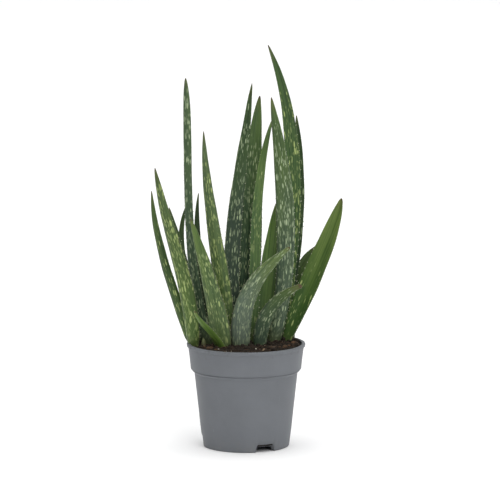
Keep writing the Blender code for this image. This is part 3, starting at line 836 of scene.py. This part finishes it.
def pot_outline(settings):
    """From the middle of the underside, out and up the outside, and down the inside."""
    rim, top = POT_HIGH.x, POT_HIGH.z
    band_top = rim - settings.lip_overhang
    band_foot = band_top - settings.band_taper
    band_z = top - settings.band_height
    body_top = band_foot - settings.step_depth
    body_z = band_z - settings.step_slope
    foot = settings.foot_radius
    ring = foot - settings.foot_ring
    reach = foot - settings.notch_reach
    wall = settings.wall
    middle, under, inner_floor = 0.0008, 0.0032, 0.0062
    return rounded([
        (middle, under, 0.0),
        (0.0140, under, 0.0),
        (0.0145, under - 0.0005, 0.0003),
        (0.0165, under - 0.0005, 0.0003),
        (0.0170, under, 0.0),
        (reach - 0.0006, under, 0.0),
        (reach + 0.0002, under, 0.0),
        (ring - 0.0004, under - 0.0002, 0.0006),
        (ring + 0.0002, 0.0, 0.0007),
        (foot - 0.0002, 0.0, 0.0013),
        (foot + 0.0004, 0.0040, 0.0),
        (foot + 0.0009, 0.0080, 0.0),
        (foot + 0.0014, 0.0125, 0.0),
        (foot + 0.0024, 0.0200, 0.0),
        (0.5 * (foot + body_top), 0.5 * body_z, 0.0),
        (body_top - 0.0003, body_z - 0.0030, 0.0),
        (body_top, body_z - 0.0004, 0.0008),
        (body_top + 0.0024, body_z + 0.0014, 0.0004),
        (body_top + 0.0019, band_z + 0.0006, 0.0003),
        (band_foot - 0.0005, band_z + 0.0005, 0.0002),
        (band_foot, band_z + 0.0002, 0.0002),
        (band_foot + 0.0001, band_z + 0.0011, 0.0),
        (0.5 * (band_foot + band_top), 0.5 * (band_z + top), 0.0),
        (band_top, top - settings.lip_height - 0.0004, 0.0004),
        (rim - 0.0001, top - settings.lip_height, 0.0006),
        (rim, top - 0.0008, 0.0),
        (rim - 0.0003, top, 0.0008),
        (band_top - wall, top, 0.0008),
        (band_top - wall - 0.0001, top - 0.0030, 0.0),
        (band_foot - wall, band_z, 0.0),
        (body_top - wall, body_z - 0.001, 0.0),
        (foot - wall + 0.0006, inner_floor + 0.0003, 0.0010),
        (middle, inner_floor, 0.0),
    ])


def build_pot(settings):
    outline = pot_outline(settings)
    foot, recess = settings.foot_radius, settings.recess_height
    vertices = []
    for radius, height in outline:
        for i in range(POT_COLUMNS):
            turn = 360.0 * i / POT_COLUMNS
            strength = notch_strength(turn)
            r, z = radius, height
            if strength > 0 and height < recess and radius > foot - settings.notch_reach:
                lifted = settings.notch_height * strength
                if radius < foot - 0.0003:
                    z = max(z, lifted)
                else:
                    z = lifted + height * (recess - lifted) / recess
                    r -= settings.recess_depth * strength * (1 - z / recess)
            way = math.radians(turn)
            spot = Vector((math.sin(way), -math.cos(way), z * 8.0))
            r += 0.00010 * noise.noise(spot * 2.2) * smoothstep(z, 0.0, 0.02)
            vertices.append((r * math.sin(way), -r * math.cos(way), min(z, POT_HIGH.z)))
    faces = ring_faces(len(outline), POT_COLUMNS)
    last = len(vertices) - POT_COLUMNS
    faces.append(tuple(range(POT_COLUMNS)))
    faces.append(tuple(last + i for i in reversed(range(POT_COLUMNS))))
    mesh = finished_mesh("pot_body", vertices, faces, 32.0)
    place("pot_body", mesh, [plastic_material(settings)], ["pot"])


# ---- soil ----

class SoilSurface:
    """Heights of the soil's top, read from its solid, with the leaf sockets bridged over."""
    CELLS = 84
    SOCKET = 0.0115         # anything this far below the soil's top is inside a socket

    def __init__(self):
        points, triangles = solid_arrays("soil")
        solid = [tuple(p) for p in points], [tuple(t) for t in triangles]
        tree = BVHTree.FromPolygons(*solid)
        self.radius = 0.5 * (SOIL_HIGH.x - SOIL_LOW.x)
        self.step = 2 * self.radius / (self.CELLS - 1)
        heights = np.full((self.CELLS, self.CELLS), np.nan)
        above = SOIL_HIGH.z + 0.01
        for i, j in np.ndindex(heights.shape):
            x, y = -self.radius + i * self.step, -self.radius + j * self.step
            if math.hypot(x, y) < self.radius - 0.0004:
                hit = tree.ray_cast(Vector((x, y, above)), Vector((0, 0, -1)))[0]
                if hit is not None and hit.z > SOIL_HIGH.z - self.SOCKET:
                    heights[i, j] = hit.z
        self.heights = self.fill(heights)

    @staticmethod
    def fill(heights):
        """Spread the known heights into the cells that have none."""
        known = ~np.isnan(heights)
        field = np.where(known, heights, 0.0)
        weight = known.astype(float)
        steps = [(0, 1), (0, -1), (1, 0), (-1, 0), (1, 1), (-1, -1), (1, -1), (-1, 1)]
        for _ in range(60):
            if weight.min() > 0:
                break
            total = sum(np.roll(field * weight, step, (0, 1)) for step in steps)
            near = sum(np.roll(weight, step, (0, 1)) for step in steps)
            gap = (weight == 0) & (near > 0)
            field[gap] = total[gap] / near[gap]
            weight[gap] = 1.0
        return field

    def at(self, x, y):
        fx = min(max((x + self.radius) / self.step, 0.0), self.CELLS - 1.001)
        fy = min(max((y + self.radius) / self.step, 0.0), self.CELLS - 1.001)
        i, j = int(fx), int(fy)
        u, v = fx - i, fy - j
        h = self.heights
        low = h[i, j] * (1 - u) + h[i + 1, j] * u
        high = h[i, j + 1] * (1 - u) + h[i + 1, j + 1] * u
        return low * (1 - v) + high * v

    def rough(self, x, y):
        """Height with lumps and fine grain on top."""
        spot = Vector((x * 210.0, y * 210.0, 0.3))
        fine = Vector((x * 900.0, y * 900.0, 7.1))
        lumps = 0.0008 * noise.noise(spot) + 0.0004 * noise.noise(spot * 2.6)
        return self.at(x, y) + lumps + 0.00030 * noise.noise(fine) - 0.0002

    def scatter(self, draw, margin):
        """A random spot that stays clear of the pot's wall."""
        reach = (self.radius - margin) * math.sqrt(draw.random())
        turn = draw.uniform(0, FULL_TURN)
        return reach * math.cos(turn), reach * math.sin(turn)

    def spot(self, x, y, lift):
        return Vector((x, y, self.rough(x, y) + lift))


def build_soil(settings, surface):
    rings, columns = 110, 300
    edge = surface.radius
    depth = SOIL_HIGH.z - SOIL_LOW.z
    vertices = []
    for fall, narrow in ((0.0, 0.762), (0.5, 0.88), (0.80, 0.945)):
        reach = edge * narrow
        vertices.extend((reach * u, reach * v, SOIL_LOW.z + fall * depth)
                        for u, v in circle(columns))
    for ring in range(rings):
        reach = edge * (1 - ring / rings) ** 0.9
        sunk = 0.0010 * smoothstep(reach, edge - 0.0015, edge)
        for u, v in circle(columns):
            x, y = reach * u, reach * v
            vertices.append((x, y, surface.rough(x, y) - sunk))
    vertices.append((0.0, 0.0, surface.rough(0.0, 0.0)))
    heap = Heap()
    heap.add(vertices, pointed_faces(rings + 3, columns), 0.0)
    heap.tones = [0.35 * max(0.0, noise.noise(Vector((x, y, 0.0)) * 320.0))
                  for x, y, _ in vertices]
    heap.place("soil_mass", earth_material("dark peat", settings.peat, 0.55, 420.0, 2200.0),
               "soil", ["soil"])


def ball(subdivisions):
    shape = bmesh.new()
    bmesh.ops.create_icosphere(shape, subdivisions=subdivisions, radius=1.0)
    points = [v.co.copy() for v in shape.verts]
    faces = [tuple(v.index for v in f.verts) for f in shape.faces]
    shape.free()
    return points, faces


def random_shift(draw, reach):
    return Vector([draw.uniform(0, reach) for _ in range(3)])


def add_lump(heap, round_shape, centre, size, draw, tone, bumpy):
    """A pebble: a ball pushed in and out by noise, then squashed and turned."""
    points, faces = round_shape
    spin = Matrix.Rotation(draw.uniform(0, 6.28), 3, "Z")
    spin = spin @ Matrix.Rotation(draw.uniform(-0.5, 0.5), 3, "X")
    shift = random_shift(draw, 50)
    vertices = []
    for way in points:
        reach = 1 + bumpy * noise.noise(way * 1.7 + shift) * 1.6
        local = Vector((way.x * size[0], way.y * size[1], way.z * size[2])) * reach
        vertices.append(centre + spin @ local)
    heap.add(vertices, faces, tone)


def build_crumbs(settings, surface):
    draw = random.Random(41)
    heap = Heap()
    fine, coarse = ball(1), ball(2)
    largest, coarse_from = 0.0024, 0.0013
    for _ in range(settings.crumbs):
        x, y = surface.scatter(draw, 0.0016)
        size = min(settings.crumb_size * math.exp(draw.gauss(0.0, 0.45)), largest)
        squashed = size * draw.uniform(0.55, 0.9)
        centre = surface.spot(x, y, size * draw.uniform(0.0, 0.45))
        tone = min(max(0.0, draw.gauss(0.12, 0.2)), 0.8)
        round_shape = coarse if size > coarse_from else fine
        add_lump(heap, round_shape, centre, (size, squashed, squashed), draw, tone, 0.35)
    base = [1.25 * c for c in settings.peat]
    heap.place("soil_crumbs", earth_material("loose peat crumbs", base, 0.6, 600.0, 2600.0), "soil")


def add_fibre(heap, draw, surface, start, size, radius, tone, sides=6, steps=9):
    """A thin bent strand lying on the soil."""
    heading = draw.uniform(0, FULL_TURN)
    bend = draw.uniform(-1.4, 1.4)
    arch = draw.uniform(0.0002, 0.0012)
    x, y = start
    inside = surface.radius - 0.0012
    vertices = []
    for step in range(steps + 1):
        part = step / steps
        way = heading + bend * part
        x += math.cos(way) * size / steps
        y += math.sin(way) * size / steps
        pulled = min(1.0, inside / math.hypot(x, y))
        x, y = x * pulled, y * pulled
        centre = surface.spot(x, y, radius + arch * math.sin(math.pi * part))
        across = Vector((-math.sin(way), math.cos(way), 0.0))
        thin = radius * (1 - 0.6 * abs(2 * part - 1) ** 2)
        vertices.extend(centre + across * thin * u + Vector((0, 0, thin * v))
                        for u, v in circle(sides))
    heap.add(vertices, tube_faces(steps + 1, sides), tone)


def build_fibres(settings, surface):
    draw = random.Random(97)
    heap = Heap()
    for _ in range(settings.fibres):
        start = surface.scatter(draw, 0.005)
        size = draw.uniform(0.003, 0.010)
        radius = draw.uniform(0.00010, 0.00024)
        add_fibre(heap, draw, surface, start, size, radius, draw.uniform(0.2, 0.9))
    finish = earth_material("peat fibres", (0.075, 0.050, 0.034), 0.5, 500.0, 2400.0)
    heap.place("soil_fibres", finish, "soil")


# ---- bark, perlite, twig and crowns ----

def add_flake(heap, draw, centre, size, turn, tone, tilt, around=26, levels=6):
    """A splintered bark chip: stacked ragged outlines, rough on every side."""
    shift = random_shift(draw, 90)
    spin = Matrix.Rotation(turn, 3, "Z") @ Matrix.Rotation(tilt, 3, "Y")
    vertices = []
    for level in range(levels):
        rise = -1 + 2 * level / (levels - 1)
        full = (1 - abs(rise) ** 3 * 0.35) * (1 - 0.06 * rise)
        for u, v in circle(around):
            ragged = 1 + 0.22 * noise.noise(Vector((u * 2.2, v * 2.2, rise * 0.8)) + shift)
            square = (abs(u) ** 3 + abs(v) ** 3) ** (-1 / 3)
            x = size[0] * u * square * full * ragged
            y = size[1] * v * square * full * ragged
            z = size[2] * (rise + 0.18 * noise.noise(Vector((x, y, rise)) * 500.0 + shift))
            vertices.append(centre + spin @ Vector((x, y, z)))
    heap.add(vertices, tube_faces(levels, around), tone)


def build_bark(settings, surface):
    """Each solid chip becomes a splintered one, and small flakes lie around them."""
    draw = random.Random(23)
    finish = earth_material("reddish bark", settings.bark, 0.65, 300.0, 1800.0, 0.85)
    for name in nodes_named("bark_"):
        points = solid_arrays(name)[0]
        centre = Vector(0.5 * (points.min(0) + points.max(0)))
        axes, reach = flat_extent(points)
        size = [0.93 * r for r in (*reach, 0.5 * np.ptp(points[:, 2]))]
        turn = math.atan2(axes[0][1], axes[0][0])
        chip = Heap()
        add_flake(chip, draw, centre, size, turn, draw.uniform(0.2, 0.8), 0.05)
        chip.place(name + "_chip", finish, "bark", [name], 35.0)
    heap = Heap()
    for _ in range(settings.litter):
        x, y = surface.scatter(draw, 0.004)
        wide = draw.uniform(0.0008, 0.0024)
        size = (wide, wide * draw.uniform(0.4, 0.7), wide * 0.3)
        turn, tone, tilt = (draw.uniform(*span) for span in ((0, 6.28), (0.0, 1.0), (-0.3, 0.3)))
        add_flake(heap, draw, surface.spot(x, y, 0.0003), size, turn, tone, tilt)
    heap.place("bark_flakes", finish, "bark", (), 35.0)


def build_perlite(settings, surface):
    draw = random.Random(12)
    large, small = ball(4), ball(3)
    finish = earth_material("chalky perlite", settings.grain, 0.22, 900.0, 3500.0, 0.85)
    for name in nodes_named("perlite_"):
        low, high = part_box(name)
        grain = Heap()
        add_lump(grain, large, 0.5 * (low + high), 0.47 * (high - low), draw, 0.05, 0.22)
        grain.place(name + "_grain", finish, "perlite", [name])
    heap = Heap()
    for _ in range(settings.extra_grains):
        x, y = surface.scatter(draw, 0.004)
        size = draw.uniform(0.0004, 0.0010)
        centre = surface.spot(x, y, 0.3 * size)
        add_lump(heap, small, centre, (size, size * 0.85, size * 0.8), draw, 0.1, 0.3)
    heap.place("perlite_specks", finish, "perlite")


def build_twig():
    low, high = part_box("twig")
    axes, reach = flat_extent(solid_arrays("twig")[0])
    way = Vector((axes[0][0], axes[0][1], 0.03)).normalized()
    side = Vector((-way.y, way.x, 0.0)).normalized()
    up = way.cross(side)
    centre = 0.5 * (low + high)
    half = 0.98 * float(reach[0])
    radius = 0.40 * (high.z - low.z)
    around, steps = 20, 48
    vertices = []
    for step in range(steps + 1):
        part = -1 + 2 * step / steps
        thin = radius * (0.9 - 0.18 * part) * (1 - 0.5 * abs(part) ** 9)
        knot = 1 + 0.25 * math.exp(-((part - 0.2) / 0.07) ** 2)
        bow = 0.0003 * math.sin(3.0 * part)
        for u, v in circle(around):
            rib = 1 + 0.10 * noise.noise(Vector((u * 2, v * 2, part * 3)))
            ring = side * u + up * v
            vertices.append(centre + way * half * part + side * bow + ring * thin * knot * rib)
    heap = Heap()
    heap.add(vertices, tube_faces(steps + 1, around), 0.2)
    finish = earth_material("dry pale twig", (0.25, 0.18, 0.115), 0.35, 350.0, 1500.0, 0.8)
    heap.place("twig_wood", finish, "twig", ["twig"], 40.0)


def build_crowns():
    """A short fleshy stem at each rosette's heart, ringed by old leaf scars."""
    finish = crown_material()
    around, steps, scars = 48, 60, 9
    for name in nodes_named("crown_"):
        low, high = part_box(name)
        centre = 0.5 * (low + high)
        radius = 0.5 * (high.x - low.x)
        vertices = []
        for step in range(steps):
            part = step / steps
            scar = 1 - 0.05 * abs(math.sin(part * scars * math.pi)) ** 6
            reach = radius * scar * 0.98 * (1 - smoothstep(part, 0.55, 1.0)) ** 0.6
            reach *= 0.78 + 0.22 * smoothstep(part, 0.0, 0.3)
            for u, v in circle(around):
                rib = reach * (1 + 0.03 * noise.noise(Vector((u * 2, v * 2, part * 6))))
                height = low.z + (high.z - low.z) * part
                vertices.append((centre.x + rib * u, centre.y + rib * v, height))
        vertices.append((centre.x, centre.y, high.z))
        mesh = finished_mesh(name + "_stem", vertices, pointed_faces(steps, around))
        place(name + "_stem", mesh, [finish], [name])


# ---- stage ----

def build_floor(settings):
    """A floor that sweeps up into a backdrop behind."""
    wide, deep, rise, bend, steps = 30.0, 12.0, 14.0, 4.0, 16
    profile = [(-deep, 0.0), (-2.0, 0.0), (-0.5, 0.0), (0.5, 0.0), (deep - bend, 0.0)]
    for step in range(1, steps + 1):
        turn = 0.5 * math.pi * step / steps
        profile.append((deep - bend + bend * math.sin(turn), bend - bend * math.cos(turn)))
    profile.append((deep, rise))
    vertices = [(x, y, z) for y, z in profile for x in (-wide, wide)]
    faces = [(2 * i, 2 * i + 1, 2 * i + 3, 2 * i + 2) for i in range(len(profile) - 1)]
    mesh = bpy.data.meshes.new("studio_floor")
    mesh.from_pydata(vertices, [], faces)
    mesh.shade_smooth()
    floor = bpy.data.objects.new("studio_floor", mesh)
    bpy.context.scene.collection.objects.link(floor)
    mesh.materials.append(backdrop_material(settings))


def look_along(thing, way):
    thing.rotation_euler = way.to_track_quat("-Z", "Y").to_euler()
    bpy.context.scene.collection.objects.link(thing)


def add_light(name, spot, aim, size, power):
    data = bpy.data.lights.new(name, "AREA")
    data.shape = "RECTANGLE"
    data.size, data.size_y = size
    data.energy = power
    light = bpy.data.objects.new(name, data)
    light.location = spot
    look_along(light, Vector(aim) - Vector(spot))


def build_lights():
    heart = (0.0, 0.0, 0.18)
    key_power, overhead_power, air = 20.0, 780.0, 0.13
    add_light("key softbox", (0.85, -2.2, 1.4), heart, (1.2, 1.2), key_power)
    add_light("overhead softbox", (0.0, 1.5, 5.0), (0.0, 1.501, 0.0), (12.5, 12.0), overhead_power)
    world = bpy.context.scene.world or bpy.data.worlds.new("studio air")
    bpy.context.scene.world = world
    world.use_nodes = True
    backing = world.node_tree.nodes.get("Background")
    backing.inputs["Color"].default_value = (1.0, 1.0, 1.0, 1.0)
    backing.inputs["Strength"].default_value = air


def build_camera(settings):
    data = bpy.data.cameras.new("studio camera")
    data.sensor_width = 36.0
    data.lens = data.sensor_width * settings.distance / settings.view_width
    data.clip_end = 100.0
    camera = bpy.data.objects.new("studio camera", data)
    back = Vector((0.0, -math.cos(settings.elevation), math.sin(settings.elevation)))
    aim = Vector((settings.aim_side, 0.0, settings.aim_height))
    camera.location = aim + back * settings.distance
    look_along(camera, -back)
    bpy.context.scene.camera = camera


# ---- operators, panel and registration ----

class AloeOperator(bpy.types.Operator):
    bl_options = {"REGISTER", "UNDO"}


class ALOE_OT_pot(AloeOperator):
    """Make the moulded plastic pot with its rim, collar and notched foot"""
    bl_idname = "aloe.pot"
    bl_label = "Pot"

    def execute(self, context):
        build_pot(context.scene.aloe_pot)
        return {"FINISHED"}


class ALOE_OT_soil(AloeOperator):
    """Make the potting soil with its crumbs and fibres"""
    bl_idname = "aloe.soil"
    bl_label = "Soil"

    def execute(self, context):
        surface = SoilSurface()
        for build in (build_soil, build_crumbs, build_fibres):
            build(context.scene.aloe_soil, surface)
        return {"FINISHED"}


class ALOE_OT_loose_bits(AloeOperator):
    """Make the bark chips, perlite grains and the twig"""
    bl_idname = "aloe.loose_bits"
    bl_label = "Bark, perlite and twig"

    def execute(self, context):
        surface = SoilSurface()
        build_bark(context.scene.aloe_soil, surface)
        build_perlite(context.scene.aloe_soil, surface)
        build_twig()
        return {"FINISHED"}


class ALOE_OT_crowns(AloeOperator):
    """Make the short stem at the heart of each rosette"""
    bl_idname = "aloe.crowns"
    bl_label = "Crowns"

    def execute(self, context):
        build_crowns()
        return {"FINISHED"}


class ALOE_OT_leaves(AloeOperator):
    """Make every leaf from its solid, with skin, channel and teeth"""
    bl_idname = "aloe.leaves"
    bl_label = "Leaves"

    def execute(self, context):
        names = nodes_named("leaf_")
        if not names:
            raise RuntimeError("the packed model has no leaf solids")
        for name in names:
            build_leaf(name, context.scene.aloe_leaf)
        return {"FINISHED"}


class ALOE_OT_stage(AloeOperator):
    """Make the pale floor, the studio lights and the camera"""
    bl_idname = "aloe.stage"
    bl_label = "Stage"

    def execute(self, context):
        build_floor(context.scene.aloe_stage)
        build_lights()
        build_camera(context.scene.aloe_stage)
        context.scene.view_settings.view_transform = "Standard"
        return {"FINISHED"}


OPERATORS = (ALOE_OT_pot, ALOE_OT_soil, ALOE_OT_loose_bits, ALOE_OT_crowns, ALOE_OT_leaves,
             ALOE_OT_stage)
SETTINGS = {
    "aloe_pot": AloePotSettings,
    "aloe_soil": AloeSoilSettings,
    "aloe_leaf": AloeLeafSettings,
    "aloe_stage": AloeStageSettings,
}


class ALOE_PT_panel(bpy.types.Panel):
    """Lists the pieces of the potted aloe"""
    bl_label = "Potted aloe"
    bl_idname = "ALOE_PT_panel"
    bl_space_type = "VIEW_3D"
    bl_region_type = "UI"
    bl_category = "Aloe"

    def draw(self, context):
        for operator in OPERATORS:
            self.layout.operator(operator.bl_idname)
        for settings in (getattr(context.scene, name) for name in SETTINGS):
            box = self.layout.box()
            for key in settings.bl_rna.properties.keys():
                if key not in ("name", "rna_type"):
                    box.prop(settings, key)


def register():
    for name, settings in SETTINGS.items():
        bpy.utils.register_class(settings)
        setattr(bpy.types.Scene, name, bpy.props.PointerProperty(type=settings))
    for kind in (*OPERATORS, ALOE_PT_panel):
        bpy.utils.register_class(kind)


def unregister():
    for kind in reversed((*OPERATORS, ALOE_PT_panel)):
        bpy.utils.unregister_class(kind)
    for name, settings in reversed(SETTINGS.items()):
        delattr(bpy.types.Scene, name)
        bpy.utils.unregister_class(settings)


def main():
    register()
    bpy.ops.aloe.pot()
    bpy.ops.aloe.soil()
    bpy.ops.aloe.loose_bits()
    bpy.ops.aloe.crowns()
    bpy.ops.aloe.leaves()
    bpy.ops.aloe.stage()


if __name__ == "__main__":
    main()
